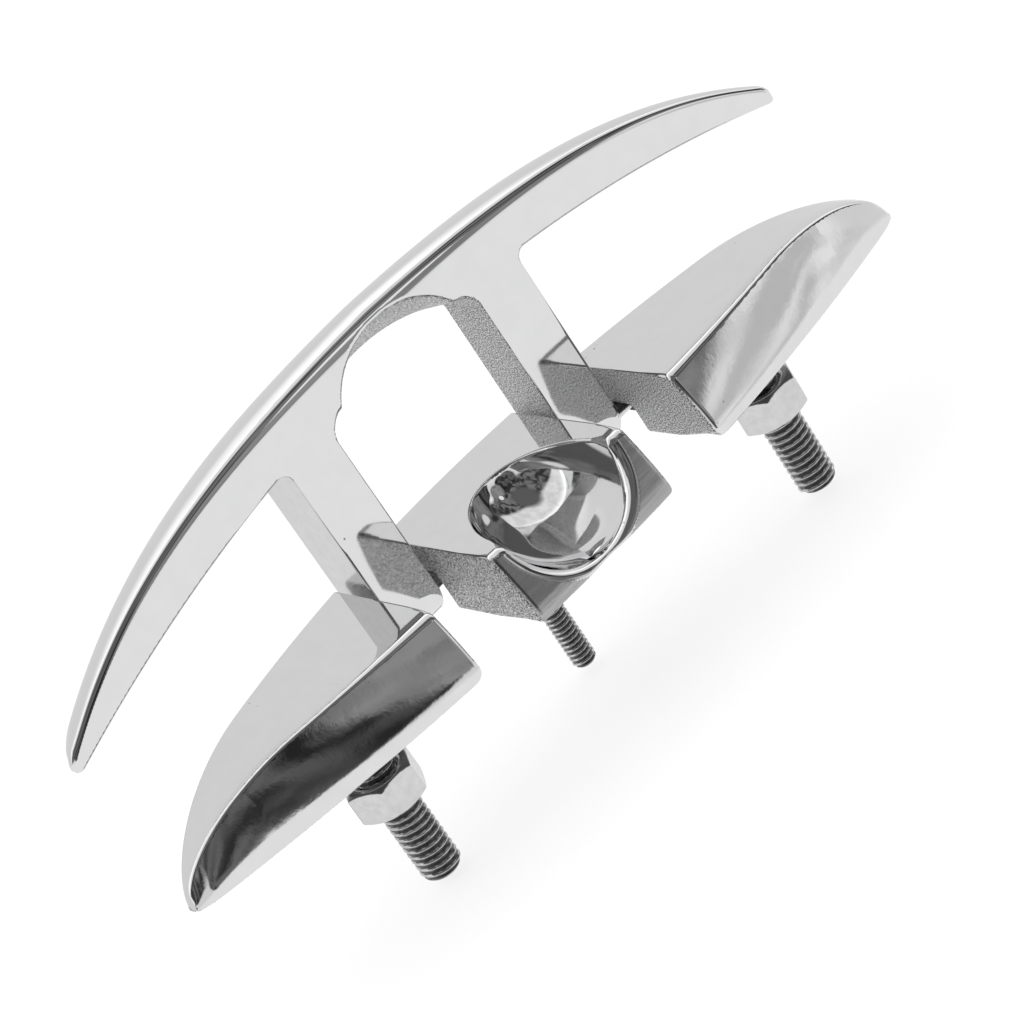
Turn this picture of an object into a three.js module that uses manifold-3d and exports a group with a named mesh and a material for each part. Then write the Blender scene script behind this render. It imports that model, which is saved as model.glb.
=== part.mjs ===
// Folding mooring cleat, horn raised. Millimetres; X along the cleat, +Y to its back, +Z up.
// The origin lies on the deck plane, under the middle of the base and in line with the two
// outer studs. The horn swings forward and down, towards -Y, about the two short hinge pins.
import * as THREE from "three";
import { mergeVertices } from "three/addons/utils/BufferGeometryUtils.js";
import Module from "manifold-3d";

const wasm = await Module();
wasm.setup();

// ---- Driving dimensions -------------------------------------------------------------------
const GAP = 0.3; // clearance kept between pieces that touch
const RUNNING = 0.08; // radial clearance of the hinge pins in their bores

const BASE = {
  halfLength: 93.5,
  height: 14.7,
  frontY: -18.6, // front foot line on the centre plane
  frontRadius: 292,
  backY: 22.9, // back line on the centre plane
  backRadius: 192,
  tipRound: 2.6, // length over which the plan outline closes at each tip
  domeStart: 62, // the top is level up to here and rolls down to the tip beyond it
  domePower: 0.56,
  tipHeight: 1.2, // least height left at the tip
  draft: 4.8, // how far the front top edge lies behind the foot line beside the slots
  draftStart: 31,
  draftEnd: 75,
  tipDraft: 2.4,
  bulge: 0.5, // the front face stands this far proud of a straight line at half height
  footRound: 0.9, // its foot curves in fast below and slowly above
  faceRound: 4,
  ridgeRound: 0.6,
  rollWidth: 3.4, // the level top rolls down this far behind the ridge
  rollDepth: 0.3,
  backRound: 2,
  heelRound: 0.5,
  rearWall: 2.4,
};
const BLOCK_HALF = 17.5; // half width of the centre block
const END_START = 30.9; // where each end casting begins, across the slot from the block

const SCOOP = { y: -13.1, halfWidth: 13.4, reach: 21.3, depth: 13.4 };
const POCKET = {
  blockFront: 9.3, // hollow under the back of the centre block
  blockCeiling: 8.5,
  endFront: 7.2, // hollow under the back of each end casting
  endCeiling: 9,
  endStop: 61,
  bossDepth: 6.3, // how far the pin boss runs into the end casting
  bossBack: 14,
  bossUnder: 1.6,
  reliefFront: 5.8, // open-bottomed relief round the pin in the slot wall
  reliefTop: 6.4,
  reliefDepth: 2.1,
};

const PIN = { y: 11.8, z: 4.5, radius: 1.5, inner: 22.5, outer: 35.4 };

const LEG = { inner: 18.5, outer: 29.6, front: 8.6, back: 22, foot: 0.4 };
const HORN = {
  halfLength: 91.5,
  tipRound: 1.9,
  innerTop: 44, // lower edge of the arms, carried to the centre plane
  innerRadius: 258,
  outerTop: 52.5, // front upper edge on the centre plane
  outerRadius: 387,
  tipDroop: 11,
  crown: 2, // rise of the rounded outer surface over its front edge
  crownAt: 0.35, // where along the thickness the crown lies
  tipCrown: 0.5,
  backDrop: 4,
  tipThickness: 6,
  cornerFillet: 2.6,
};
const NOTCH = {
  radius: 16.6, // finger notch on the front face
  centreZ: 35.2,
  halfWidth: 14.3,
  shoulderZ: 40.4,
  backTopZ: 43.7,
  backRadius: 37.2,
};

const OUTER_STUD = { x: 51.6, y: 0, radius: 3.97, top: 9, bottom: -29.3, chamfer: 0.8 };
const CENTRE_STUD = { x: 0, y: 16.1, radius: 2.41, top: 10, bottom: -29.7, chamfer: 0.5 };
const CENTRE_BOSS = { radius: 4.6, top: 9.5 };
const NUT = { top: -5.9, height: 6.75, acrossFlats: 12.7, faceRadius: 6.1, chamferAngle: 30 };

const STEEL = { polished: 0xcdced0, cast: 0xb9babc, bright: 0xd8d9da, thread: 0x9a9b9d };

// ---- Solid helpers --------------------------------------------------------------------------
function toSolid(geometry) {
  const bare = new THREE.BufferGeometry();
  bare.setAttribute("position", geometry.getAttribute("position"));
  if (geometry.index) bare.setIndex(geometry.index);
  const merged = mergeVertices(bare, 1e-4);
  return new wasm.Manifold(
    new wasm.Mesh({
      numProp: 3,
      vertProperties: new Float32Array(merged.getAttribute("position").array),
      triVerts: new Uint32Array(merged.index.array),
    }),
  );
}

function toGeometry(solid) {
  const mesh = solid.getMesh();
  const geometry = new THREE.BufferGeometry();
  geometry.setAttribute("position", new THREE.Float32BufferAttribute(mesh.vertProperties, 3));
  geometry.setIndex(new THREE.Uint32BufferAttribute(mesh.triVerts, 1));
  geometry.computeVertexNormals();
  return geometry;
}

function boxSolid(x0, x1, y0, y1, z0, z1) {
  const box = new THREE.BoxGeometry(x1 - x0, y1 - y0, z1 - z0);
  box.translate((x0 + x1) / 2, (y0 + y1) / 2, (z0 + z1) / 2);
  return toSolid(box);
}

// A cylinder about Z with its two rims chamfered.
function rodSolid({ x, y, radius, top, bottom, chamfer = 0 }, segments = 48) {
  const profile = [
    new THREE.Vector2(0, bottom),
    new THREE.Vector2(radius - chamfer, bottom),
    new THREE.Vector2(radius, bottom + chamfer),
    new THREE.Vector2(radius, top - chamfer),
    new THREE.Vector2(radius - chamfer, top),
    new THREE.Vector2(0, top),
  ];
  const lathe = new THREE.LatheGeometry(chamfer ? profile : uniqueCorners(profile), segments);
  lathe.rotateX(Math.PI / 2);
  lathe.translate(x, y, 0);
  return toSolid(lathe);
}

function uniqueCorners(profile) {
  return profile.filter((point, i) => i === 0 || !point.equals(profile[i - 1]));
}

// A cylinder along X between two stations.
function crossRod(x0, x1, y, z, radius, segments = 40) {
  const rod = new THREE.CylinderGeometry(radius, radius, x1 - x0, segments);
  rod.rotateZ(Math.PI / 2);
  rod.translate((x0 + x1) / 2, y, z);
  return toSolid(rod);
}

// Replaces each corner [y, z, before, after] of a closed outline by a short curve that starts
// `before` millimetres ahead of the corner and ends `after` past it, always in equal steps.
function roundedOutline(corners, steps = 5) {
  const outline = [];
  corners.forEach(([y, z, before, after = before], i) => {
    const corner = new THREE.Vector2(y, z);
    const towards = ([ny, nz], distance) => {
      const side = new THREE.Vector2(ny, nz).sub(corner);
      return corner.clone().addScaledVector(side.normalize(), distance);
    };
    const start = towards(corners.at(i - 1), before);
    const end = towards(corners[(i + 1) % corners.length], after);
    outline.push(...new THREE.QuadraticBezierCurve(start, corner, end).getPoints(steps));
  });
  return outline;
}

// Skins closed YZ outlines of equal point count, one per X station, and caps both ends.
function skin(stations, outlineAt) {
  const outlines = stations.map(outlineAt);
  if (THREE.ShapeUtils.isClockWise(outlines[0])) outlines.forEach((outline) => outline.reverse());
  const count = outlines[0].length;
  const positions = [];
  const index = [];
  stations.forEach((x, s) => outlines[s].forEach((p) => positions.push(x, p.x, p.y)));
  for (let s = 0; s + 1 < stations.length; s += 1) {
    for (let i = 0; i < count; i += 1) {
      const a = s * count + i;
      const b = s * count + ((i + 1) % count);
      index.push(a, b, a + count, b, b + count, a + count);
    }
  }
  const last = (stations.length - 1) * count;
  const capOf = (outline) => THREE.ShapeUtils.triangulateShape(outline, []);
  capOf(outlines[0]).forEach(([a, b, c]) => index.push(a, c, b));
  capOf(outlines.at(-1)).forEach(([a, b, c]) => index.push(last + a, last + b, last + c));
  const geometry = new THREE.BufferGeometry();
  geometry.setAttribute("position", new THREE.Float32BufferAttribute(positions, 3));
  geometry.setIndex(index);
  return toSolid(geometry);
}

// Stations from x0 to x1, bunched towards x1 when bunch is over 1.
function stationsBetween(x0, x1, steps, bunch = 1) {
  return Array.from({ length: steps + 1 }, (_, i) => {
    const t = 1 - (1 - i / steps) ** bunch;
    return x0 + (x1 - x0) * t;
  });
}

// ---- Base castings --------------------------------------------------------------------------
const baseFront = (x) => BASE.frontY + (x * x) / (2 * BASE.frontRadius);
const baseBack = (x) => BASE.backY - (x * x) / (2 * BASE.backRadius);

function baseTop(x) {
  const along = Math.max(0, (x - BASE.domeStart) / (BASE.halfLength - BASE.domeStart));
  const level = Math.max(0, 1 - along * along) ** BASE.domePower;
  return Math.max(BASE.tipHeight, BASE.height * level);
}

function baseDraft(x) {
  const along = (x - BASE.draftStart) / (BASE.draftEnd - BASE.draftStart);
  return THREE.MathUtils.lerp(BASE.draft, BASE.tipDraft, THREE.MathUtils.clamp(along, 0, 1));
}

function baseOutline(x) {
  const nearTip = Math.max(0, (x - BASE.halfLength + BASE.tipRound) / BASE.tipRound);
  const closing = Math.sqrt(Math.max(0.02, 1 - nearTip * nearTip));
  const middle = (baseFront(x) + baseBack(x)) / 2;
  const half = ((baseBack(x) - baseFront(x)) / 2) * closing;
  const top = baseTop(x);
  const fit = (round) => Math.min(round, 0.45 * top, 0.45 * half);
  const draft = Math.min(baseDraft(x), half / 2);
  const bulge = (BASE.bulge * top) / BASE.height;
  const ridge = fit(BASE.ridgeRound);
  const roll = Math.min(BASE.rollWidth, half / 2);
  const dip = (BASE.rollDepth * roll) / BASE.rollWidth;
  return roundedOutline([
    [middle - half, 0, fit(BASE.footRound), Math.min(BASE.faceRound, 0.27 * top)],
    [middle - half + draft / 2 - bulge, top / 2, 0.2 * top],
    [middle - half + draft, top - dip, ridge, Math.min(ridge, 0.4 * roll)],
    [middle - half + draft + roll, top, 0.5 * roll],
    [middle + half, top, fit(BASE.backRound)],
    [middle + half, 0, fit(BASE.heelRound)],
  ]);
}

// The hollow under a casting, between its front mass and its rear wall.
function pocket(x0, x1, front, ceiling) {
  return skin(stationsBetween(x0, x1, 12), (x) => {
    const back = baseBack(Math.abs(x)) - BASE.rearWall;
    const roof = Math.min(ceiling, baseTop(Math.abs(x)) - BASE.rearWall);
    return roundedOutline([
      [front, -1, 0.1],
      [front, roof, 1],
      [back, roof, 1],
      [back, -1, 0.1],
    ]);
  });
}

function boreFor(stud, end = stud.top + GAP) {
  return rodSolid({ ...stud, radius: stud.radius + GAP, top: end, bottom: -1, chamfer: 0 });
}

function centreBlock() {
  const body = skin(stationsBetween(-BLOCK_HALF, BLOCK_HALF, 14), (x) => baseOutline(Math.abs(x)));
  const bowl = new THREE.SphereGeometry(1, 56, 40);
  bowl.scale(SCOOP.halfWidth, SCOOP.reach, SCOOP.depth);
  bowl.translate(0, SCOOP.y, BASE.height);
  const hollow = pocket(-BLOCK_HALF - 1, BLOCK_HALF + 1, POCKET.blockFront, POCKET.blockCeiling);
  const boss = rodSolid({ ...CENTRE_STUD, ...CENTRE_BOSS, bottom: 0, chamfer: 0 });
  return body.subtract(toSolid(bowl)).subtract(hollow).add(boss).subtract(boreFor(CENTRE_STUD));
}

function rightEnd() {
  const level = stationsBetween(END_START, BASE.domeStart, 14);
  const rolling = stationsBetween(BASE.domeStart, BASE.halfLength, 26, 1.7).slice(1);
  const body = skin([...level, ...rolling], baseOutline);
  const bossEnd = END_START + POCKET.bossDepth;
  const hollow = pocket(bossEnd, POCKET.endStop, POCKET.endFront, POCKET.endCeiling);
  const besideBoss = pocket(END_START - 1, bossEnd + 1, POCKET.bossBack, POCKET.endCeiling);
  const underBoss = boxSolid(
    END_START - 1,
    bossEnd + 1,
    POCKET.endFront,
    POCKET.bossBack + 1,
    -1,
    POCKET.bossUnder,
  );
  const relief = boxSolid(
    END_START - 1,
    END_START + POCKET.reliefDepth,
    POCKET.reliefFront,
    POCKET.bossBack + 1,
    -1,
    POCKET.reliefTop,
  );
  const pinBore = crossRod(END_START - 1, PIN.outer + GAP, PIN.y, PIN.z, PIN.radius + RUNNING);
  return body
    .subtract(hollow)
    .subtract(besideBoss)
    .subtract(underBoss)
    .subtract(relief)
    .subtract(pinBore)
    .subtract(boreFor(OUTER_STUD));
}

// ---- Horn -----------------------------------------------------------------------------------
const hornInner = (x) => HORN.innerTop - (x * x) / (2 * HORN.innerRadius);

function hornOuter(x) {
  const droop = HORN.tipDroop * (x / HORN.halfLength) ** 4;
  return HORN.outerTop - (x * x) / (2 * HORN.outerRadius) - droop;
}

// Lower edge of the bridge between the legs: a round finger notch in front, a flat arch behind.
function notchFront(x) {
  if (x >= NOTCH.halfWidth) {
    const along = (x - NOTCH.halfWidth) / (LEG.inner - NOTCH.halfWidth);
    const start = NOTCH.centreZ + Math.sqrt(NOTCH.radius ** 2 - NOTCH.halfWidth ** 2);
    return THREE.MathUtils.lerp(start, NOTCH.shoulderZ, Math.min(1, along) ** 2);
  }
  return NOTCH.centreZ + Math.sqrt(NOTCH.radius ** 2 - x * x);
}

const notchBack = (x) => NOTCH.backTopZ - (x * x) / (2 * NOTCH.backRadius);

function hornOutline(x) {
  const along = x / HORN.halfLength;
  const nearTip = Math.max(0, (x - HORN.halfLength + HORN.tipRound) / HORN.tipRound);
  const closing = Math.sqrt(Math.max(0.03, 1 - nearTip * nearTip));
  const full = LEG.back - LEG.front;
  const beyondLeg = Math.max(0, (x - LEG.outer) / (HORN.halfLength - LEG.outer));
  const thickness = THREE.MathUtils.lerp(full, HORN.tipThickness, beyondLeg ** 1.5) * closing;
  const bridge = x < LEG.inner + 0.1;
  const lowFront = bridge ? Math.min(notchFront(x), hornOuter(x) - 0.8) : hornInner(x);
  const lowBack = bridge ? notchBack(x) : hornInner(x);
  const rise = hornOuter(x) - hornInner(x);
  const middle = hornInner(x) + rise / 2;
  const squeeze = (z) => middle + (z - middle) * closing;
  const crown = THREE.MathUtils.lerp(HORN.crown, HORN.tipCrown, along);
  const drop = HORN.backDrop * Math.min(1, rise / 12);
  const surface = (v) => {
    const away = (v - HORN.crownAt) / (v < HORN.crownAt ? HORN.crownAt : 1 - HORN.crownAt);
    const fall = v < HORN.crownAt ? crown : crown + drop;
    return hornOuter(x) + crown - fall * away * away;
  };
  const outline = [new THREE.Vector2(LEG.front, squeeze(lowFront))];
  const steps = 14;
  for (let i = 0; i <= steps; i += 1) {
    const v = i / steps;
    outline.push(new THREE.Vector2(LEG.front + v * thickness, squeeze(surface(v))));
  }
  outline.push(new THREE.Vector2(LEG.front + thickness, squeeze(Math.min(lowBack, surface(1) - 1))));
  return outline;
}

// A leg seen from its side: straight faces and a half-round foot about the hinge.
function legSolid() {
  const radius = (LEG.back - LEG.front) / 2;
  const side = new THREE.Shape();
  side.moveTo(LEG.front, HORN.innerTop);
  side.lineTo(LEG.front, LEG.foot + radius);
  side.absarc(LEG.front + radius, LEG.foot + radius, radius, Math.PI, 2 * Math.PI);
  side.lineTo(LEG.back, HORN.innerTop - 2);
  const leg = new THREE.ExtrudeGeometry(side, {
    depth: LEG.outer - LEG.inner,
    bevelEnabled: false,
    curveSegments: 24,
  });
  // Shape axes (y, z) become the part's Y and Z, and the extrusion runs along X.
  leg.applyMatrix4(new THREE.Matrix4().set(0, 0, 1, LEG.inner, 1, 0, 0, 0, 0, 1, 0, 0, 0, 0, 0, 1));
  return toSolid(leg);
}

// The rounded web in the corner between a leg's outer side and the arm.
function cornerFillet() {
  const r = HORN.cornerFillet;
  const top = hornInner(LEG.outer + r);
  const web = new THREE.Shape();
  web.moveTo(LEG.outer - 1, top + 1.5);
  web.lineTo(LEG.outer - 1, top - r);
  web.lineTo(LEG.outer, top - r);
  web.absarc(LEG.outer + r, top - r, r, Math.PI, Math.PI / 2, true);
  web.lineTo(LEG.outer + r, top + 1.5);
  const depth = LEG.back - LEG.front - 1.5;
  const solid = new THREE.ExtrudeGeometry(web, { depth, bevelEnabled: false, curveSegments: 8 });
  solid.rotateX(Math.PI / 2);
  solid.translate(0, LEG.front + depth, 0);
  return toSolid(solid);
}

function hornSolid() {
  const bridge = stationsBetween(0, LEG.inner, 18);
  const arm = stationsBetween(LEG.inner + 0.2, HORN.halfLength, 44, 1.35);
  const right = [...bridge, ...arm];
  const left = right.slice(1).reverse().map((x) => -x);
  let horn = skin([...left, ...right], (x) => hornOutline(Math.abs(x)));
  const leg = legSolid();
  const web = cornerFillet();
  for (const piece of [leg, web]) horn = horn.add(piece).add(piece.mirror([1, 0, 0]));
  const pinBore = crossRod(PIN.inner - GAP, LEG.outer + 1, PIN.y, PIN.z, PIN.radius + RUNNING);
  return horn.subtract(pinBore).subtract(pinBore.mirror([1, 0, 0]));
}

// ---- Fasteners and pins ---------------------------------------------------------------------
function nutSolid() {
  const corner = NUT.acrossFlats / Math.sqrt(3);
  const hex = new THREE.CylinderGeometry(corner, corner, NUT.height, 6);
  hex.rotateX(Math.PI / 2);
  const slope = Math.tan(THREE.MathUtils.degToRad(NUT.chamferAngle));
  const half = NUT.height / 2;
  const outside = corner + 0.5;
  const cut = (outside - NUT.faceRadius) * slope;
  const profile = [
    new THREE.Vector2(0, -half),
    new THREE.Vector2(NUT.faceRadius, -half),
    new THREE.Vector2(outside, -half + cut),
    new THREE.Vector2(outside, half - cut),
    new THREE.Vector2(NUT.faceRadius, half),
    new THREE.Vector2(0, half),
  ];
  const limits = new THREE.LatheGeometry(profile, 48);
  limits.rotateX(Math.PI / 2);
  const hole = rodSolid({ x: 0, y: 0, radius: OUTER_STUD.radius + GAP, top: 5, bottom: -5 });
  return toSolid(hex)
    .intersect(toSolid(limits))
    .subtract(hole)
    .translate([OUTER_STUD.x, OUTER_STUD.y, NUT.top - half]);
}

const pinSolid = () => crossRod(PIN.inner, PIN.outer, PIN.y, PIN.z, PIN.radius);

// ---- Scene ----------------------------------------------------------------------------------
function steel(color, roughness) {
  return new THREE.MeshStandardMaterial({ color, roughness, metalness: 1 });
}

const polished = steel(STEEL.polished, 0.12);
const cast = steel(STEEL.cast, 0.22);
const bright = steel(STEEL.bright, 0.25);
const thread = steel(STEEL.thread, 0.4);

const group = new THREE.Group();

function place(name, solid, material) {
  const mesh = new THREE.Mesh(toGeometry(solid), material);
  mesh.name = name;
  group.add(mesh);
}

const mirrored = (solid) => solid.mirror([1, 0, 0]);

place("horn", hornSolid(), polished);
place("centre_block", centreBlock(), cast);
place("right_end", rightEnd(), cast);
place("left_end", mirrored(rightEnd()), cast);
place("right_pin", pinSolid(), bright);
place("left_pin", mirrored(pinSolid()), bright);
place("right_stud", rodSolid(OUTER_STUD), thread);
place("left_stud", mirrored(rodSolid(OUTER_STUD)), thread);
place("centre_stud", rodSolid(CENTRE_STUD), thread);
place("right_nut", nutSolid(), bright);
place("left_nut", mirrored(nutSolid()), bright);

export default group;
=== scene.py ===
import math

import bpy
import numpy as np
from mathutils import Matrix, Vector


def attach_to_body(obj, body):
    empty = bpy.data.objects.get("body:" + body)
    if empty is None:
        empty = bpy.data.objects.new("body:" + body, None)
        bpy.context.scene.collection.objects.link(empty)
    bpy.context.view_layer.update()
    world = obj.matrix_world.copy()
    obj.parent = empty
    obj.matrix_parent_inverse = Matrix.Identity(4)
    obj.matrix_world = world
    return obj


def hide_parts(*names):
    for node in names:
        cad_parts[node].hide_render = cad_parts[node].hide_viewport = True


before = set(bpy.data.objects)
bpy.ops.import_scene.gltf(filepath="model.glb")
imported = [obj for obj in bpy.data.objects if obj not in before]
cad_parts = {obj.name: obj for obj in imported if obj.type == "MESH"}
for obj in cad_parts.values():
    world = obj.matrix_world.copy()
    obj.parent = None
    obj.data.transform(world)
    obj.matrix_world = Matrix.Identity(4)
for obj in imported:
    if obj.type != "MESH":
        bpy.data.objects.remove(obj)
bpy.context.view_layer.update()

# Shapes are worked out in millimetres in the CAD frame (X along the cleat, +Y to its back,
# +Z up from the deck) and scaled to metres when a mesh is made.
MM = 0.001
PITCH = 0.36  # grid spacing of the castings and the horn
FINE_PITCH = 0.28  # for the smaller pieces

BASE = dict(half_length=93.5, height=14.7, front=-18.6, front_radius=292, back=22.9, back_radius=192,
            dome_start=62, dome_power=0.56, draft=4.8, draft_start=31, draft_end=75, tip_draft=2.4,
            bulge=0.5, foot_round=0.9, face_round=4, ridge_round=0.45, slot_ridge_round=1.1,
            roll_width=3.4, roll_depth=0.3, nose=1.4, nose_start=87.5, back_round=2, rear_wall=2.4,
            tip_height=1.2, tip_round=1.8)
BLOCK_HALF = 17.5
END_START = 30.9
SCOOP = dict(y=-13.1, half_width=13.4, reach=21.3, depth=13.4, swell=0.28, swell_length=3.2)
PIN = dict(y=11.8, z=4.5, radius=1.5, inner=22.5, outer=35.4)
LEG = dict(inner=18.5, outer=29.6, front=8.6, back=22, foot=0.4, top=45.6)
HORN = dict(half_length=91.5, inner_top=44, inner_radius=258, outer_top=52.5, outer_radius=387,
            tip_droop=11, crown=2, crown_at=0.35, tip_crown=0.5, back_drop=4, tip_thickness=6,
            tip_sweep=6, tip_round=1.9)
NOTCH = dict(radius=16.6, centre=35.2, half_width=14.3, shoulder=40.4, back_top=43.7, back_radius=37.2)
OUTER_STUD = dict(x=51.6, y=0, radius=3.97, top=9, bottom=-29.3, pitch=1.411)
CENTRE_STUD = dict(x=0, y=16.1, radius=2.41, top=9, bottom=-29.7, pitch=1.058)
NUT = dict(top=-5.9, height=6.75, across_flats=12.7, face_share=0.96, hole=4.3, countersink=4.9)
STUD_HOLE = dict(outer=4.3, centre=2.8, top=9.3)
BLOCK_HOLLOW = dict(front=9.3, top=8.5)
END_HOLLOW = dict(rib=37.2, far=61, front=7.2, slot_front=14, top=9)  # open to the slot up to the rib
BOSS = dict(radius=4.6, top=10)
RELIEF = dict(front=5.8, back=15, top=6.4, far=34)
PIN_CLEARANCE = 0.08
BACK_EDGE = 2.2  # how far in front of a casting's back its satin finish reaches
# The last of these finishes is a dull raw cast surface whose dark colour also paints the shade under the
# castings and in their hollows.
MIRROR, CAST, BRUSHED, SATIN, RAW_CAST_AND_SHADE = range(5)  # places of the finishes on a casting


# ---- Fields: negative inside, in millimetres ---------------------------------------------------
def both(a, b, r=0.3):
    """Where a and b overlap, with the edge between them rounded to radius r."""
    corner = np.sqrt(np.maximum(a + r, 0) ** 2 + np.maximum(b + r, 0) ** 2)
    return np.minimum(-r, np.maximum(a, b)) + corner


def either(a, b, r=0.3):
    """a and b joined, with a fillet of radius r in the corner between them."""
    return -both(-a, -b, r)


def without(a, b, r=0.3):
    """What is left of a once b is cut from it, with the edge rounded to radius r."""
    return both(a, -b, r)


def blend_between(a, b, t):
    return a + (b - a) * np.clip(t, 0, 1)


def rod_x(x, y, z, x0, x1, cy, cz, radius, r=0.1):
    return both(np.hypot(y - cy, z - cz) - radius, np.maximum(x0 - x, x - x1), r)


def rod_z(x, y, z, cx, cy, radius, z0, z1, r=0.1):
    return both(np.hypot(x - cx, y - cy) - radius, np.maximum(z0 - z, z - z1), r)


def slopes(shape, x):
    """The length of a profile's slope, which turns a height above it into a distance."""
    return np.sqrt(1 + ((shape(x + 0.05) - shape(x - 0.05)) / 0.1) ** 2)


def base_top(x):
    along = (x - BASE["dome_start"]) / (BASE["half_length"] - BASE["dome_start"])
    level = np.maximum(0, 1 - np.maximum(0, along) ** 2) ** BASE["dome_power"]
    return np.maximum(BASE["tip_height"], BASE["height"] * level)


def base_back(x):
    return BASE["back"] - x * x / (2 * BASE["back_radius"])


def front_face(x, z):
    """Where the bulged front face stands at height z: it leans back and tucks in at its foot."""
    top = base_top(x)
    along = (x - BASE["draft_start"]) / (BASE["draft_end"] - BASE["draft_start"])
    lean = blend_between(BASE["draft"], BASE["tip_draft"], along)
    t = np.clip(z / top, 0, 1.2)
    bulge = BASE["bulge"] * top / BASE["height"] * 4 * t * (1 - t)
    up = np.clip(z / np.minimum(BASE["face_round"], 0.5 * top), 0.003, 1)
    tuck = BASE["foot_round"] * (1 - np.sqrt(1 - (1 - up) ** 2))
    past = (x - BASE["nose_start"]) / (BASE["half_length"] - BASE["nose_start"])
    nose = BASE["nose"] * np.clip(past, 0, 1.2) ** 2
    return BASE["front"] + x * x / (2 * BASE["front_radius"]) + nose + lean * t - bulge + tuck


def base_body(x, y, z, side, corner):
    """The boat-shaped body that the castings are cut from, for x >= 0, ended by side < 0."""
    steep = (front_face(x, z + 0.05) - front_face(x, z - 0.05)) / 0.1
    face = (front_face(x, z) - y) / np.sqrt(1 + steep * steep)
    top = base_top(x)
    small = np.clip(top / 4, 0.25, 1)
    # The level top rolls gently down over the last few millimetres to the ridge.
    near_ridge = np.clip(1 - (y - front_face(x, top)) / BASE["roll_width"], 0, 1.3)
    roll = BASE["roll_depth"] * small * near_ridge ** 2
    roof = (z - top + roll) / slopes(base_top, x)
    # The ridge is softer beside the slots and crisper towards the tips.
    ridge = blend_between(BASE["slot_ridge_round"], BASE["ridge_round"], (x - END_START) / 25)
    body = both(face, roof, ridge * small)
    body = both(body, y - base_back(x), BASE["back_round"] * small)
    # Side face: softer where the front face is polished, crisper towards the back.
    near_front = 1 - np.clip((y + 12) / 8, 0, 1)
    ends = both(side, -z, 0.3 + (corner - 0.3) * near_front)
    return both(body, ends, 0.3 + 0.8 * near_front)


def pocket(x, y, z, x0, x1, front, ceiling):
    wall = np.maximum(front - y, y - base_back(np.abs(x)) + BASE["rear_wall"])
    roof = z - np.minimum(ceiling, base_top(np.abs(x)) - BASE["rear_wall"])
    return both(both(wall, roof, 1), np.maximum(x0 - x, x - x1), 0.6)


def block_field(x, y, z):
    body = base_body(np.abs(x), y, z, np.abs(x) - BLOCK_HALF, 1.2)
    wide, long, deep = SCOOP["half_width"], SCOOP["reach"], SCOOP["depth"]
    px, py, pz = x / wide, (y - SCOOP["y"]) / long, (z - BASE["height"]) / deep
    near = np.sqrt(px ** 2 + py ** 2 + pz ** 2)
    steep = np.sqrt((px / wide) ** 2 + (py / long) ** 2 + (pz / deep) ** 2)
    bowl = near * (near - 1) / np.maximum(steep, 1e-6)
    # Ground by hand, the bowl is not a true ellipsoid: a slow swell runs slantwise through it.
    swell = 1 + np.sin((0.9 * x + 0.75 * (y - SCOOP["y"]) - 1.5) / SCOOP["swell_length"])
    clear_of_rim = np.clip((BASE["height"] - z) / 5, 0, 1) * np.clip((y + 15.5) / 7, 0, 1)
    bowl = bowl + SCOOP["swell"] * swell * clear_of_rim
    # The rim is crisp on the level top and a broad rolled lip where it crosses the front face.
    body = without(body, bowl, 0.5 + 1.7 * np.clip((-9 - y) / 5, 0, 1))
    body = without(body, pocket(x, y, z, -20, 20, BLOCK_HOLLOW["front"], BLOCK_HOLLOW["top"]), 0.4)
    at = CENTRE_STUD["x"], CENTRE_STUD["y"]
    body = either(body, rod_z(x, y, z, *at, BOSS["radius"], 0, BOSS["top"]), 0.8)
    return without(body, rod_z(x, y, z, *at, STUD_HOLE["centre"], -5, STUD_HOLE["top"]), 0.2)


def end_field(x, y, z):
    body = base_body(x, y, z, END_START - x, 2.4)
    body = both(body, x - BASE["half_length"], BASE["tip_round"])
    rib, front, top = END_HOLLOW["rib"], END_HOLLOW["front"], END_HOLLOW["top"]
    body = without(body, pocket(x, y, z, rib, END_HOLLOW["far"], front, top), 0.4)
    body = without(body, pocket(x, y, z, 20, rib + 1, END_HOLLOW["slot_front"], top), 0.4)
    under = np.maximum(np.maximum(x - (rib + 1), front - y), np.maximum(y - RELIEF["back"], z - 1.6))
    body = without(body, under, 0.3)
    # Open-bottomed relief in the slot wall, through which the hinge pin shows.
    relief = both(np.maximum(RELIEF["front"] - y, y - RELIEF["back"]), z - RELIEF["top"], 1.2)
    body = without(body, np.maximum(relief, x - RELIEF["far"]), 0.3)
    pin_hole = rod_x(x, y, z, 25, PIN["outer"] + 0.3, PIN["y"], PIN["z"], PIN["radius"] + PIN_CLEARANCE)
    body = without(body, pin_hole, 0.2)
    hole = rod_z(x, y, z, OUTER_STUD["x"], OUTER_STUD["y"], STUD_HOLE["outer"], -5, STUD_HOLE["top"])
    return without(body, hole, 0.4)


def horn_inner(x):
    return HORN["inner_top"] - x * x / (2 * HORN["inner_radius"])


def horn_outer(x):
    droop = HORN["tip_droop"] * (x / HORN["half_length"]) ** 4
    return HORN["outer_top"] - x * x / (2 * HORN["outer_radius"]) - droop


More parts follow.
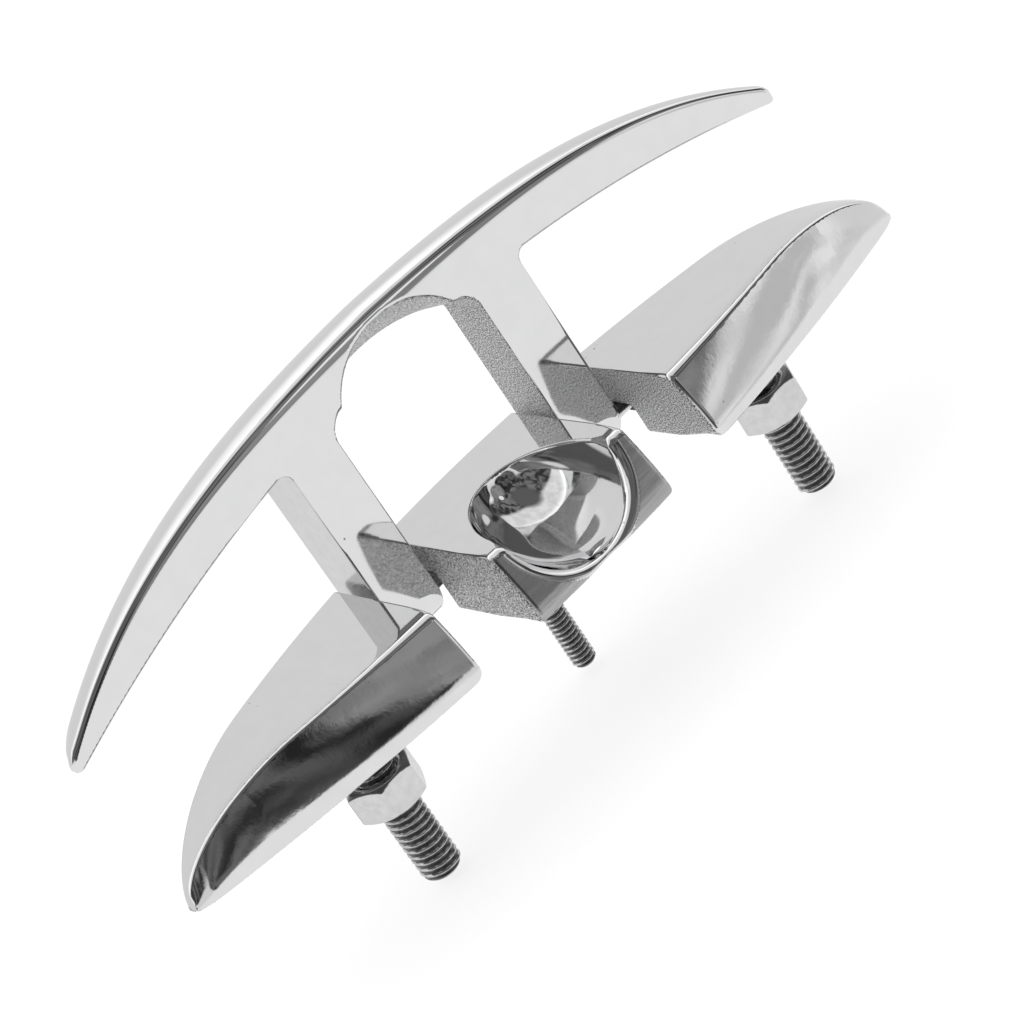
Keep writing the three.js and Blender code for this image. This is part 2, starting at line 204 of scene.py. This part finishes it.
def horn_field(x, y, z):
    x = np.abs(x)
    past = np.clip((x - LEG["outer"]) / (HORN["half_length"] - LEG["outer"]), 0, 1)
    thick = blend_between(LEG["back"] - LEG["front"], HORN["tip_thickness"], past ** 1.5)
    sweep = np.clip((x - HORN["half_length"] + HORN["tip_sweep"]) / HORN["tip_sweep"], 0, 1.1)
    thick = thick * np.sqrt(np.maximum(0.3, 1 - sweep * sweep))
    v = np.clip((y - LEG["front"]) / thick, -0.2, 1.2)
    crown = blend_between(HORN["crown"], HORN["tip_crown"], x / HORN["half_length"])
    drop = HORN["back_drop"] * np.minimum(1, (horn_outer(x) - horn_inner(x)) / 12)
    at = HORN["crown_at"]
    away = np.where(v < at, (v - at) / at, (v - at) / (1 - at))
    fall = np.where(v < at, crown, crown + drop)
    lean = 2 * fall * away / (np.where(v < at, at, 1 - at) * thick)
    roof = (z - horn_outer(x) - crown + fall * away * away) / np.hypot(slopes(horn_outer, x), lean)
    sides = np.maximum(LEG["front"] - y, y - LEG["front"] - thick)

    # Lower side: the arms' inner arc, and between the legs the dished finger notch.
    radius, half = NOTCH["radius"], NOTCH["half_width"]
    start = NOTCH["centre"] + math.sqrt(radius ** 2 - half ** 2)
    step = (x - half) / (LEG["inner"] - half)
    arch = NOTCH["centre"] + np.sqrt(np.maximum(0, radius ** 2 - x * x))
    shoulder = blend_between(start, NOTCH["shoulder"], np.clip(step, 0, 1) ** 2)
    notch_front = np.minimum(np.where(x < half, arch, shoulder), horn_outer(x) - 0.8)
    notch_back = NOTCH["back_top"] - x * x / (2 * NOTCH["back_radius"])
    notch = blend_between(notch_front, notch_back, v)
    arms = (horn_inner(x) - z) / slopes(horn_inner, x)
    bridge = (notch - z) / 1.25
    low = np.where(x < LEG["inner"] + 1, bridge, arms)

    arc = both(both(roof, sides, np.where(v < 0.5, 1.6 - 0.8 * x / HORN["half_length"], 0.8)), low, 0.7)
    arc = both(arc, x - HORN["half_length"], HORN["tip_round"])

    foot_radius = (LEG["back"] - LEG["front"]) / 2
    foot_y, foot_z = LEG["front"] + foot_radius, LEG["foot"] + foot_radius
    round_foot = np.hypot(y - foot_y, z - foot_z) - foot_radius
    shank = np.maximum(np.abs(y - foot_y) - foot_radius, z - LEG["top"])
    leg = np.where(z < foot_z, round_foot, shank)
    leg = both(leg, np.maximum(LEG["inner"] - x, x - LEG["outer"]), 0.4)
    body = either(arc, leg, np.where(x < LEG["inner"] + 4, 0.8, 2.4))
    bore = rod_x(x, y, z, PIN["inner"] - 0.3, 40, PIN["y"], PIN["z"], PIN["radius"] + PIN_CLEARANCE)
    # The front and back each stay one flat plane where the legs join the crescent.
    body = np.maximum(body, np.maximum(LEG["front"] - y, y - LEG["back"]))
    return without(body, bore, 0.2)


def nut_field(x, y, z):
    flat = NUT["across_flats"] / 2
    turns = np.radians([30, 90, 150])
    hexagon = np.max([np.abs(x * np.cos(t) + y * np.sin(t)) for t in turns], axis=0) - flat
    far = np.hypot(x, y)
    half = NUT["height"] / 2
    caps = np.abs(z) - half
    cone = (far - flat * NUT["face_share"] - (half - np.abs(z)) * math.sqrt(3)) * 0.5
    body = both(both(hexagon, caps, 0.15), cone, 0.12)
    countersink = (NUT["countersink"] - (half - np.abs(z)) - far) * 0.707
    return without(both(body, NUT["hole"] - far, 0.1), -countersink, 0.1)


# ---- Meshing a field ---------------------------------------------------------------------------
def gradient(field, points, step=0.01):
    slopes_of = []
    for axis in np.eye(3) * step:
        ahead, behind = points + axis, points - axis
        slopes_of.append((field(*ahead.T) - field(*behind.T)) / (2 * step))
    return np.stack(slopes_of, axis=1)


def shell(field, low, high, pitch):
    """A mesh of the field's zero surface: surface nets on a grid, then each point drawn on to it."""
    low = np.array(low, float) - 1.5 * pitch
    counts = np.ceil((np.array(high, float) - low) / pitch + 2.5).astype(int)
    axes = [low[i] + pitch * np.arange(counts[i]) for i in range(3)]
    grid = np.meshgrid(*axes, indexing="ij", sparse=True)
    values = np.broadcast_to(field(*grid), counts).astype(np.float64)
    values = np.where(values == 0, 1e-9, values)
    inside = values < 0
    strides = np.array([counts[1] * counts[2], counts[2], 1])
    total = int(np.prod(counts))
    sums, hits, quads = np.zeros((3, total)), np.zeros(total), []
    for axis in range(3):
        a_slice, b_slice = [slice(None)] * 3, [slice(None)] * 3
        a_slice[axis], b_slice[axis] = slice(0, -1), slice(1, None)
        cross = np.argwhere(inside[tuple(a_slice)] != inside[tuple(b_slice)])
        start = inside[tuple(a_slice)][tuple(cross.T)]
        va, vb = values[tuple(a_slice)][tuple(cross.T)], values[tuple(b_slice)][tuple(cross.T)]
        where = cross.astype(float)
        where[:, axis] += va / (va - vb)
        u, w = strides[(axis + 1) % 3], strides[(axis + 2) % 3]
        cell = cross @ strides
        ring = np.stack([cell - u - w, cell - w, cell, cell - u], axis=1)
        for corner in ring.T:
            hits += np.bincount(corner, minlength=total)
            for i in range(3):
                sums[i] += np.bincount(corner, weights=where[:, i], minlength=total)
        quads.append(np.where(start[:, None], ring, ring[:, ::-1]))
    used = np.flatnonzero(hits)
    points = low + pitch * (sums[:, used] / hits[used]).T
    number = np.zeros(total, int)
    number[used] = np.arange(len(used))
    for _ in range(5):
        g = gradient(field, points)
        move = -field(*points.T)[:, None] * g / np.maximum((g * g).sum(axis=1), 0.05)[:, None]
        length = np.linalg.norm(move, axis=1)[:, None]
        points += move * np.minimum(1, 0.5 * pitch / np.maximum(length, 1e-9))
    normals = gradient(field, points)
    normals /= np.linalg.norm(normals, axis=1)[:, None]
    return points, number[np.concatenate(quads)], normals


def make(name, points, faces, normals=None, flip=False):
    mesh = bpy.data.meshes.new(name)
    if flip:
        points = points * np.array([-1, 1, 1])
        faces = faces[:, ::-1]
        normals = None if normals is None else normals * np.array([-1, 1, 1])
    mesh.from_pydata((points * MM).tolist(), [], faces.tolist())
    mesh.update()
    mesh.shade_smooth()
    if normals is not None:
        mesh.normals_split_custom_set_from_vertices(normals.tolist())
    obj = bpy.data.objects.new(name, mesh)
    bpy.context.scene.collection.objects.link(obj)
    return obj


def dress(obj, materials, choose):
    """Gives each face one of the materials; choose reads face centres (mm) and normals."""
    for m in materials:
        obj.data.materials.append(m)
    count = len(obj.data.polygons)
    centres, normals = np.zeros(count * 3), np.zeros(count * 3)
    obj.data.polygons.foreach_get("center", centres)
    obj.data.polygons.foreach_get("normal", normals)
    index = choose(centres.reshape(-1, 3) / MM, normals.reshape(-1, 3))
    obj.data.polygons.foreach_set("material_index", index.astype(np.int32))


def attach(obj, node, body):
    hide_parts(node)
    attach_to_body(obj, body)


# ---- Turned pieces -----------------------------------------------------------------------------
def threaded(stud, around=48, per_turn=12):
    """A rod with a true helical thread that runs out into a chamfer at both ends."""
    pitch, radius = stud["pitch"], stud["radius"]
    depth = 0.6 * pitch
    rows = np.arange(stud["bottom"], stud["top"], pitch / per_turn)
    rows = np.append(rows, stud["top"])
    turn = np.linspace(0, 2 * math.pi, around, endpoint=False)
    z, a = np.meshgrid(rows, turn, indexing="ij")
    phase = (z / pitch - a / (2 * math.pi)) % 1
    tooth = np.clip((np.abs(phase - 0.5) * 2 - 0.14) / 0.74, 0, 1)
    r = radius - depth * tooth
    from_end = np.minimum(z - stud["bottom"], stud["top"] - z)
    r = np.minimum(r, radius - depth - 0.1 + from_end)
    points = np.stack([stud["x"] + r * np.cos(a), stud["y"] + r * np.sin(a), z], axis=2).reshape(-1, 3)
    n, m = len(rows), around
    faces = []
    for i in range(n - 1):
        for j in range(m):
            k = (j + 1) % m
            faces.append((i * m + j, i * m + k, (i + 1) * m + k, (i + 1) * m + j))
    faces = np.array(faces)
    low, high = len(points), len(points) + 1
    end_centres = [[stud["x"], stud["y"], stud[end]] for end in ("bottom", "top")]
    points = np.vstack([points, end_centres])
    last = (n - 1) * m
    fans = [(low, (j + 1) % m, j) for j in range(m)]
    fans += [(high, last + j, last + (j + 1) % m) for j in range(m)]
    return points, faces, fans


def stud_object(name, stud, flip=False):
    points, faces, fans = threaded(stud)
    if flip:
        points = points * np.array([-1, 1, 1])
    mesh = bpy.data.meshes.new(name)
    rings = [tuple(f) for f in faces] + fans
    if flip:
        rings = [f[::-1] for f in rings]
    mesh.from_pydata((points * MM).tolist(), [], rings)
    mesh.update()
    mesh.shade_smooth()
    obj = bpy.data.objects.new(name, mesh)
    bpy.context.scene.collection.objects.link(obj)
    return obj


def pin_field(x, y, z):
    return rod_x(x, y, z, PIN["inner"], PIN["outer"], PIN["y"], PIN["z"], PIN["radius"], 0.25)


# ---- Materials ---------------------------------------------------------------------------------
def steel(name, color, rough, rough_spread, bump_scale, bump, stretch=(1, 1, 1), tint=0.06, pits=0.0,
          grain=(0.3, 0.7)):
    """Steel whose roughness, tone and fine relief vary by noise laid in the piece's own space."""
    m = bpy.data.materials.new(name)
    m.use_nodes = True
    nodes, links = m.node_tree.nodes, m.node_tree.links
    shader = nodes["Principled BSDF"]
    shader.inputs["Metallic"].default_value = 1

    def noise(scale, detail, roughness=0.55):
        n = nodes.new("ShaderNodeTexNoise")
        n.inputs["Scale"].default_value = scale
        n.inputs["Detail"].default_value = detail
        n.inputs["Roughness"].default_value = roughness
        links.new(mapping.outputs[0], n.inputs["Vector"])
        return n.outputs[0]

    def ramp(source, low, high, at=(0.3, 0.7)):
        r = nodes.new("ShaderNodeMapRange")
        r.inputs["From Min"].default_value, r.inputs["From Max"].default_value = at
        r.inputs["To Min"].default_value, r.inputs["To Max"].default_value = low, high
        links.new(source, r.inputs["Value"])
        return r.outputs[0]

    where = nodes.new("ShaderNodeTexCoord")
    mapping = nodes.new("ShaderNodeMapping")
    mapping.inputs["Scale"].default_value = stretch
    links.new(where.outputs["Object"], mapping.inputs["Vector"])

    broad, fine = noise(90, 4), noise(bump_scale, 6)
    links.new(ramp(broad, rough - rough_spread, rough + rough_spread), shader.inputs["Roughness"])
    tone = nodes.new("ShaderNodeMix")
    tone.data_type = "RGBA"
    tone.inputs[6].default_value = [c * (1 - tint) for c in color] + [1]
    tone.inputs[7].default_value = list(color) + [1]
    links.new(ramp(fine, 0, 1, at=grain), tone.inputs[0])
    relief = nodes.new("ShaderNodeBump")
    relief.inputs["Strength"].default_value = 1
    relief.inputs["Distance"].default_value = bump
    links.new(fine, relief.inputs["Height"])
    links.new(relief.outputs[0], shader.inputs["Normal"])
    colour_out = tone.outputs[2]
    if pits:
        # Sparse casting pits: small dark specks where a cellular pattern falls low.
        cells = nodes.new("ShaderNodeTexVoronoi")
        cells.inputs["Scale"].default_value = 420
        links.new(mapping.outputs[0], cells.inputs["Vector"])
        speck = ramp(cells.outputs["Distance"], 1, 0, at=(0.05, 0.13))
        few = ramp(noise(160, 2), 0, 1, at=(0.62, 0.7))
        gate = nodes.new("ShaderNodeMath")
        gate.operation = "MULTIPLY"
        links.new(speck, gate.inputs[0])
        links.new(few, gate.inputs[1])
        dark = nodes.new("ShaderNodeMix")
        dark.data_type = "RGBA"
        dark.inputs[7].default_value = (0.03, 0.03, 0.03, 1)
        scaled = nodes.new("ShaderNodeMath")
        scaled.operation = "MULTIPLY"
        scaled.inputs[1].default_value = pits
        links.new(gate.outputs[0], scaled.inputs[0])
        links.new(scaled.outputs[0], dark.inputs[0])
        links.new(tone.outputs[2], dark.inputs[6])
        colour_out = dark.outputs[2]
    links.new(colour_out, shader.inputs["Base Color"])
    return m


mirror = steel("mirror_polish", (0.8, 0.8, 0.805), 0.05, 0.02, 260, 0.000006, tint=0.03, pits=0.7)
hand = steel("hand_polish", (0.8, 0.8, 0.805), 0.06, 0.03, 170, 0.00004, tint=0.05, pits=0.8)
satin = steel("satin_polish", (0.68, 0.68, 0.685), 0.16, 0.05, 520, 0.00002, tint=0.08, pits=0.8)
cast = steel("rough_cast", (0.92, 0.92, 0.925), 0.33, 0.08, 3300, 0.0004, tint=0.86, pits=1.0,
             grain=(0.42, 0.58))
# Dark raw underside: partly a dull raw cast finish, partly painted shade that stands in for the shade under
# the castings and in their hollows.
raw_cast_and_shade = steel("raw_underside_and_painted_shade", (0.17, 0.17, 0.17), 0.5, 0.1, 2200, 0.0003, tint=0.6, grain=(0.4, 0.6))
brushed = steel("brushed_face", (0.5, 0.5, 0.505), 0.24, 0.06, 900, 0.00006, stretch=(0.12, 1, 1), tint=0.2)
nut_steel = steel("machined_nut", (0.74, 0.74, 0.74), 0.24, 0.06, 700, 0.00003, tint=0.12)
# The thread's dark flanks and roots are painted shade, and its bright crests are a painted highlight.
thread_painted_shade = steel("rolled_thread_painted_shade", (0.28, 0.28, 0.285), 0.34, 0.08, 1500, 0.00006, tint=0.5)
crest_painted_highlight = steel("thread_crest_painted_highlight", (0.7, 0.7, 0.705), 0.2, 0.06, 1500, 0.00003, tint=0.2)
pin_steel = steel("ground_pin", (0.8, 0.8, 0.81), 0.2, 0.05, 900, 0.00002, stretch=(1, 4, 4), tint=0.1)


# ---- The castings ------------------------------------------------------------------------------
def inside_scoop(x, y, z, margin):
    """Whether a point is inside the scoop's ellipsoid grown by a margin."""
    return ((x / (SCOOP["half_width"] + margin)) ** 2 + ((y - SCOOP["y"]) / (SCOOP["reach"] + margin)) ** 2
            + ((z - BASE["height"]) / (SCOOP["depth"] + margin)) ** 2) < 1


def dress_block(centres, normals):
    x, y, z = centres.T
    nx, ny, nz = normals.T
    index = np.full(len(centres), CAST)
    index[(nz > 0.7) & (z > 10)] = MIRROR
    index[(ny > 0.2) & (y > base_back(x) - BACK_EDGE)] = SATIN
    bowl = (np.abs(x) < SCOOP["half_width"] + 0.6) & (y < 9) & (nz > 0.05) & (y > BASE["front"] - 1)
    index[bowl & inside_scoop(x, y, z, 0.5)] = MIRROR
    index[ny < -0.75] = BRUSHED
    index[(ny < -0.2) & inside_scoop(x, y, z, 2)] = MIRROR
    # Undersides and hollows take the dark raw finish, whose colour paints their shade.
    hollow = (y > 8) & (z < 9) & (y < base_back(x) - BACK_EDGE) & (np.abs(nx) < 0.9)
    index[hollow | (nz < -0.9)] = RAW_CAST_AND_SHADE
    return index


def dress_end(centres, normals):
    """The end's front face is hand polished, in the place of the block's brushed finish."""
    x, y, z = centres.T
    nx, ny, nz = normals.T
    index = np.full(len(centres), CAST)
    index[(nz > 0.25) & (z > 0.6)] = MIRROR
    index[ny < -0.6] = BRUSHED
    index[(ny > 0.2) & (y > base_back(x) - BACK_EDGE)] = SATIN
    index[(np.abs(nx) > 0.9) & (np.abs(x) < 31.6)] = CAST
    # Undersides and hollows take the dark raw finish, whose colour paints their shade.
    hollow = (y > 5) & (z < 9.6) & (y < base_back(x) - 2) & (np.abs(x) < 62) & (np.abs(x) > 31.3)
    index[hollow | (nz < -0.9)] = RAW_CAST_AND_SHADE
    return index


def dress_horn(centres, normals):
    """The horn has no brushed face, so its satin finish comes straight after the cast one."""
    mirror_face, cast_face, satin_face = range(3)
    x, y, z = centres.T
    nx, ny, nz = normals.T
    index = np.full(len(centres), mirror_face)
    between = np.abs(x) < LEG["inner"] + 0.3
    index[between & (nz < 0.2) & (z > 33) & (ny > -0.85)] = cast_face
    outward = nx * np.sign(x)
    index[(outward < -0.8) & (z < 40) & (np.abs(x) < LEG["inner"] + 1)] = cast_face
    index[(outward > 0.5) & (z < 41) & (np.abs(x) < LEG["outer"] + 1)] = satin_face
    index[ny > 0.9] = satin_face
    index[(z < 8) & (nz < -0.75)] = cast_face
    return index


def dress_thread(obj, stud, flip):
    """Bright crests over dark flanks and roots: a painted highlight on the crests and painted shade in the
    grooves.
    """
    centre = -stud["x"] if flip else stud["x"]

    def choose(centres, normals):
        from_axis = np.hypot(centres[:, 0] - centre, centres[:, 1] - stud["y"])
        # Faces out at the crest take the bright painted highlight; the rest take the dark painted shade.
        return np.where(from_axis > stud["radius"] - 0.2 * stud["pitch"], 1, 0)

    dress(obj, [thread_painted_shade, crest_painted_highlight], choose)


def build_castings():
    points, faces, normals = shell(block_field, (-18, -19, 0), (18, 24, 15), FINE_PITCH)
    block = make("centre_block_v", points, faces, normals)
    dress(block, [mirror, cast, brushed, satin, raw_cast_and_shade], dress_block)
    attach(block, "centre_block", "base")

    points, faces, normals = shell(end_field, (30, -19, 0), (94, 24, 15), PITCH)
    for name, flip in (("right_end", False), ("left_end", True)):
        end = make(name + "_v", points, faces, normals, flip)
        dress(end, [mirror, cast, hand, satin, raw_cast_and_shade], dress_end)
        attach(end, name, "base")


def build_horn():
    points, faces, normals = shell(horn_field, (-92, 8, 0), (92, 23, 55), PITCH)
    horn = make("horn_v", points, faces, normals)
    dress(horn, [mirror, cast, satin], dress_horn)
    attach(horn, "horn", "horn")


def build_fasteners():
    points, faces, normals = shell(nut_field, (-7.6, -7.6, -3.5), (7.6, 7.6, 3.5), FINE_PITCH * 0.8)
    points = points + np.array([OUTER_STUD["x"], OUTER_STUD["y"], NUT["top"] - NUT["height"] / 2])
    for name, flip in (("right_nut", False), ("left_nut", True)):
        nut = make(name + "_v", points, faces, normals, flip)
        nut.data.materials.append(nut_steel)
        attach(nut, name, "base")
    for name, stud, flip in (("right_stud", OUTER_STUD, False), ("left_stud", OUTER_STUD, True),
                             ("centre_stud", CENTRE_STUD, False)):
        obj = stud_object(name + "_v", stud, flip)
        dress_thread(obj, stud, flip)
        attach(obj, name, "base")
    points, faces, normals = shell(pin_field, (22, 10, 2.5), (36, 13.6, 6.3), FINE_PITCH * 0.6)
    for name, flip in (("right_pin", False), ("left_pin", True)):
        pin = make(name + "_v", points, faces, normals, flip)
        pin.data.materials.append(pin_steel)
        attach(pin, name, "base")


build_castings()
build_horn()
build_fasteners()


# ---- Studio ------------------------------------------------------------------------------------
def floor():
    """A large pale floor under the stud ends; the steel mirrors the surround instead of it."""
    bpy.ops.mesh.primitive_plane_add(size=12, location=(0, 0, -0.0312))
    plane = bpy.context.object
    plane.name = "studio_floor"
    m = bpy.data.materials.new("pale_floor")
    m.use_nodes = True
    m.node_tree.nodes["Principled BSDF"].inputs["Base Color"].default_value = (0.3, 0.3, 0.3, 1)
    m.node_tree.nodes["Principled BSDF"].inputs["Emission Color"].default_value = (1, 1, 1, 1)
    m.node_tree.nodes["Principled BSDF"].inputs["Emission Strength"].default_value = 0.8
    m.node_tree.nodes["Principled BSDF"].inputs["Roughness"].default_value = 0.9
    plane.data.materials.append(m)
    plane.visible_glossy = False


def area(name, toward, distance, size, power):
    light = bpy.data.lights.new(name, "AREA")
    light.shape = "RECTANGLE"
    light.size, light.size_y = size
    light.energy = power
    obj = bpy.data.objects.new(name, light)
    bpy.context.scene.collection.objects.link(obj)
    spot = Vector(toward).normalized() * distance
    obj.location = spot
    obj.rotation_euler = spot.to_track_quat("Z", "Y").to_euler()
    obj.visible_glossy = False


def surround():
    """The studio that the steel mirrors: pale above and below, with dim patches in front."""
    world = bpy.data.worlds.new("studio")
    bpy.context.scene.world = world
    world.use_nodes = True
    nodes, links = world.node_tree.nodes, world.node_tree.links
    background = nodes["Background"]
    where = nodes.new("ShaderNodeTexCoord")
    clutter = nodes.new("ShaderNodeTexNoise")
    clutter.inputs["Scale"].default_value = 6
    clutter.inputs["Detail"].default_value = 1.5
    clutter.inputs["Distortion"].default_value = 0.6
    links.new(where.outputs["Generated"], clutter.inputs["Vector"])

    def lobe(azimuth, elevation, inner, outer):
        """1 within inner degrees of a direction, falling to 0 at outer degrees."""
        az, el = math.radians(azimuth), math.radians(elevation)
        dot = nodes.new("ShaderNodeVectorMath")
        dot.operation = "DOT_PRODUCT"
        flat = math.cos(el)
        dot.inputs[1].default_value = (math.cos(az) * flat, math.sin(az) * flat, math.sin(el))
        links.new(where.outputs["Generated"], dot.inputs[0])
        r = nodes.new("ShaderNodeMapRange")
        r.interpolation_type = "SMOOTHSTEP"
        r.inputs["From Min"].default_value = math.cos(math.radians(outer))
        r.inputs["From Max"].default_value = math.cos(math.radians(inner))
        links.new(dot.outputs["Value"], r.inputs["Value"])
        return r.outputs[0]

    def uneven(low, high):
        r = nodes.new("ShaderNodeMapRange")
        r.inputs["From Min"].default_value, r.inputs["From Max"].default_value = 0.4, 0.62
        r.inputs["To Min"].default_value, r.inputs["To Max"].default_value = low, high
        links.new(clutter.outputs[0], r.inputs["Value"])
        return r.outputs[0]

    def mix(fac, a, b):
        m = nodes.new("ShaderNodeMix")
        m.data_type = "RGBA"
        for source, socket in ((a, m.inputs[6]), (b, m.inputs[7])):
            if isinstance(source, (int, float)):
                socket.default_value = (source, source, source, 1)
            else:
                links.new(source, socket)
        links.new(fac, m.inputs[0])
        return m.outputs[2]

    axes = nodes.new("ShaderNodeSeparateXYZ")
    links.new(where.outputs["Generated"], axes.inputs[0])
    over = nodes.new("ShaderNodeMath")
    over.operation = "ARCTAN2"
    links.new(axes.outputs["Z"], over.inputs[0])
    links.new(axes.outputs["Y"], over.inputs[1])

    def strip(start, end, soft=2):
        """1 between two angles of a strip along X: 0 is the back horizon, 90 is overhead."""
        sides = []
        for edge, sign in ((start, 1), (end, -1)):
            r = nodes.new("ShaderNodeMapRange")
            r.interpolation_type = "SMOOTHSTEP"
            r.inputs["From Min"].default_value = math.radians(edge - soft * sign)
            r.inputs["From Max"].default_value = math.radians(edge + soft * sign)
            links.new(over.outputs[0], r.inputs["Value"])
            sides.append(r.outputs[0])
        m = nodes.new("ShaderNodeMath")
        m.operation = "MULTIPLY"
        links.new(sides[0], m.inputs[0])
        links.new(sides[1], m.inputs[1])
        return m.outputs[0]

    tone = mix(lobe(0, -90, 74, 82), SKY, TABLE)
    for start, end, soft, low, high in STRIPS:
        tone = mix(strip(start, end, soft), tone, uneven(low, high))
    for azimuth, elevation, inner, outer, low, high in LOBES:
        tone = mix(lobe(azimuth, elevation, inner, outer), tone, uneven(low, high))
    seen = nodes.new("ShaderNodeLightPath")
    tone = mix(seen.outputs["Is Camera Ray"], tone, 1.0)
    links.new(tone, background.inputs["Color"])


SKY, TABLE = 0.77, 0.92
STRIPS = [  # start and end angle over the cleat, softness in degrees, least and most brightness
    (58, 96, 14, 1.25, 1.35),
    (82, 130, 4, 0.75, 0.9),
    (112, 172, 4, 0.04, 0.22),
]
LOBES = [  # azimuth, elevation, inner and outer half width in degrees, least and most brightness
    (-112, 52, 16, 28, 0.12, 0.12),
    (-42, 0, 12, 20, 0.58, 0.95),
    (-96, 4, 15, 18, 0.02, 0.1),
    (-112, 3, 14, 18, 0.03, 0.15),
    (-72, 12, 15, 18, 0.18, 0.3),
    (-66, 26, 4, 6, 0.95, 0.95),
]
floor()
surround()
area("key", (-0.5, -0.4, 1), 1.4, (1.1, 1.1), 4)

camera = bpy.data.objects.new("camera", bpy.data.cameras.new("camera"))
bpy.context.scene.collection.objects.link(camera)
position = Vector((-277.10, -614.38, 323.98)) * MM
target = Vector((-0.758, 4.589, 8.530)) * MM
roll = math.radians(-34.11)
forward = (target - position).normalized()
level = forward.cross(Vector((0, 0, 1))).normalized()
up = level.cross(forward)
right = level * math.cos(roll) + up * math.sin(roll)
camera.matrix_world = Matrix.Translation(position) @ Matrix(
    (right, right.cross(forward), -forward)).transposed().to_4x4()
camera.data.sensor_width = 36
camera.data.lens = 149.53
camera.data.clip_end = 20
bpy.context.scene.camera = camera
bpy.context.scene.view_settings.view_transform = "Standard"

bpy.context.view_layer.update()
